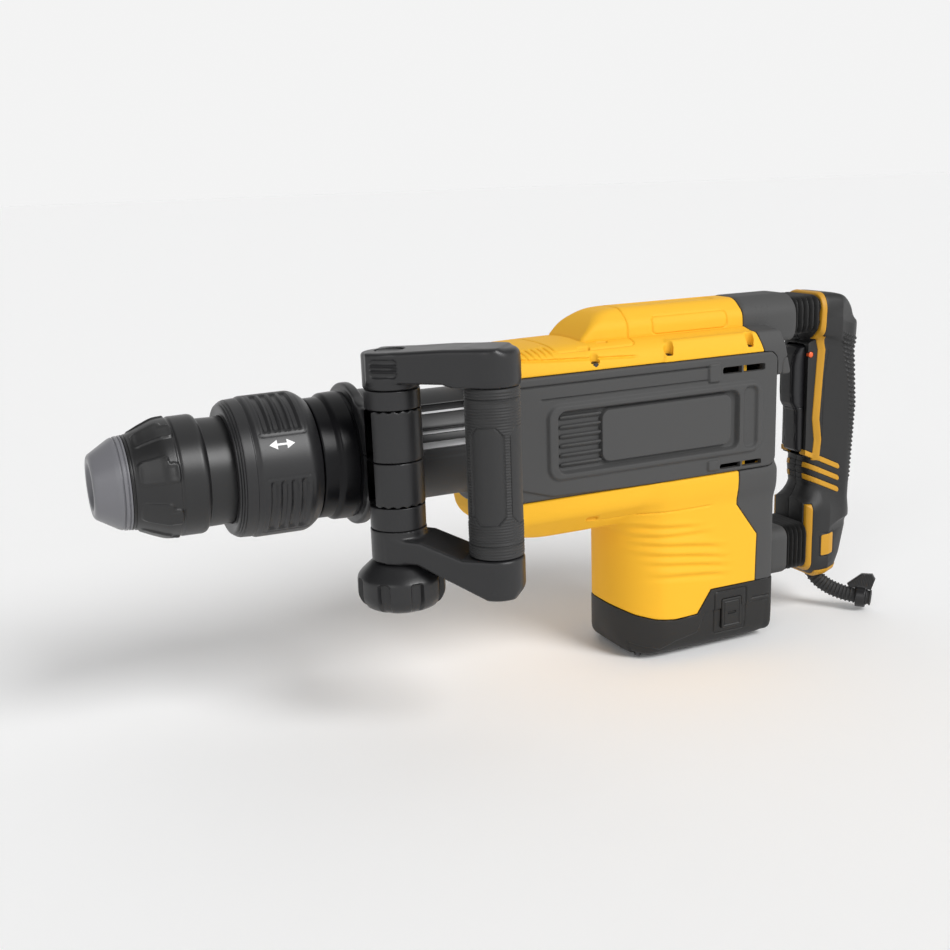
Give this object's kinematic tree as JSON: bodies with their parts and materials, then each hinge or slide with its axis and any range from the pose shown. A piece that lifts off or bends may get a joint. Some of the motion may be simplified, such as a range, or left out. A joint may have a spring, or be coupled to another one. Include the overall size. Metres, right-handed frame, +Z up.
{
  "type": "demolition hammer",
  "caption": "Electric demolition hammer with a quick-release bit nose, clamp-on side handle, upright motor housing and a sprung rear D-handle with a long trigger.",
  "frame": {"origin": "centre of the motor housing's flat base, on the tool's middle plane", "axes": "-X towards the nose along the hammer axis, +Z up through the motor axis, -Y towards the side handle"},
  "size_m": [0.6912, 0.1996, 0.301],
  "materials": {
    "yellow_shell": "satin moulded plastic, fine grain",
    "charcoal_shell": "textured moulded plastic",
    "black_plastic": "glass-filled plastic, low sheen",
    "soft_rubber": "soft overmoulded rubber, fine ribs",
    "black_casting": "gloss black coating on cast alloy",
    "steel": "ground and oiled steel",
    "copper_winding": "enamelled copper on laminated core",
    "carbon": "pressed carbon",
    "amber_lens": "clear amber lens"
  },
  "bodies": {
    "body": {"barrel_casting": "black_casting", "hammer_tube": "steel", "top_cover": "yellow_shell", "main_housing": "yellow_shell", "left_panel": "charcoal_shell", "right_panel": "charcoal_shell", "rear_cover": "charcoal_shell", "base_cap": "charcoal_shell", "left_brush_cover": "charcoal_shell", "right_brush_cover": "charcoal_shell", "field_stack": "steel", "upper_bearing": "steel", "lower_bearing": "steel", "crank_bearing": "steel", "left_brush": "carbon", "right_brush": "carbon", "upper_bellows": "soft_rubber", "lower_bellows": "soft_rubber", "upper_handle_spring": "steel", "lower_handle_spring": "steel"},
    "holder": {"tool_holder": "steel", "nose_cap": "soft_rubber", "angle_ring": "black_plastic", "release_spring": "steel"},
    "sleeve": {"lock_sleeve": "black_plastic"},
    "beat_piece": {"beat_piece": "steel"},
    "ram": {"ram": "steel"},
    "piston": {"piston": "steel", "wrist_pin": "steel"},
    "rod": {"connecting_rod": "steel"},
    "crank": {"crank_gear": "steel"},
    "rotor": {"rotor_shaft": "steel", "armature_core": "copper_winding", "commutator": "copper_winding", "cooling_fan": "black_plastic"},
    "rear_handle": {"rear_handle_left": "black_plastic", "rear_handle_right": "black_plastic", "switch_module": "black_plastic", "power_light": "amber_lens", "upper_guide_rod": "steel", "lower_guide_rod": "steel", "cable_guard": "soft_rubber", "cable_clip": "black_plastic"},
    "trigger": {"trigger": "black_plastic"},
    "clamp": {"clamp_upper": "black_plastic", "clamp_lower": "black_plastic", "clamp_back_screw": "steel"},
    "side_handle": {"upper_index_ring": "black_plastic", "lower_index_ring": "black_plastic", "side_handle_frame": "black_plastic", "side_grip": "soft_rubber", "clamp_bolt": "steel", "bolt_cap": "black_plastic"},
    "knob": {"clamp_knob": "black_plastic"}
  },
  "joints": [
    {"name": "holder_turn", "type": "hinge", "parent": "body", "child": "holder", "pos_m": [-0.39, 0, 0.206], "axis": [1, 0, 0], "continuous": true},
    {"name": "sleeve_slide", "type": "slide", "parent": "holder", "child": "sleeve", "axis": [1, 0, 0], "range_m": [0, 0.01], "stiffness_N_per_m": 1500, "springref_m": -0.003, "deforming": ["release_spring"]},
    {"name": "beat_slide", "type": "slide", "parent": "holder", "child": "beat_piece", "axis": [1, 0, 0], "range_m": [-0.012, 0]},
    {"name": "ram_slide", "type": "slide", "parent": "body", "child": "ram", "axis": [1, 0, 0], "range_m": [-0.012, 0.03]},
    {"name": "piston_slide", "type": "slide", "parent": "body", "child": "piston", "axis": [1, 0, 0], "range_m": [-0.032, 0]},
    {"name": "rod_swing", "type": "hinge", "parent": "piston", "child": "rod", "pos_m": [-0.1215, 0, 0.206], "axis": [0, 0, 1], "range_deg": [-11, 11]},
    {"name": "rotor_turn", "type": "hinge", "parent": "body", "child": "rotor", "pos_m": [0, 0, 0.086], "axis": [0, 0, 1], "continuous": true},
    {"name": "crank_turn", "type": "hinge", "parent": "body", "child": "crank", "pos_m": [-0.0525, 0, 0.146], "axis": [0, 0, 1], "continuous": true},
    {"name": "rear_handle_slide", "type": "slide", "parent": "body", "child": "rear_handle", "axis": [1, 0, 0], "range_m": [-0.006, 0], "stiffness_N_per_m": 20000, "springref_m": 0.002, "deforming": ["upper_bellows", "lower_bellows", "upper_handle_spring", "lower_handle_spring"]},
    {"name": "trigger_pull", "type": "hinge", "parent": "rear_handle", "child": "trigger", "pos_m": [0.142, 0, 0.246], "axis": [0, -1, 0], "range_deg": [0, 5], "stiffness_Nm_per_rad": 4, "springref_deg": -5.73},
    {"name": "clamp_roll", "type": "hinge", "parent": "body", "child": "clamp", "pos_m": [-0.282, 0, 0.206], "axis": [1, 0, 0], "continuous": true},
    {"name": "side_handle_swing", "type": "hinge", "parent": "clamp", "child": "side_handle", "pos_m": [-0.2845, -0.07, 0.206], "axis": [0, 0, 1], "range_deg": [-115, 20]},
    {"name": "knob_turn", "type": "hinge", "parent": "side_handle", "child": "knob", "pos_m": [-0.2845, -0.07, 0.121], "axis": [0, 0, 1], "continuous": true}
  ],
  "couplings": [
    {"joint": "crank_turn", "follows": "rotor_turn", "ratio": -0.30435}
  ]
}
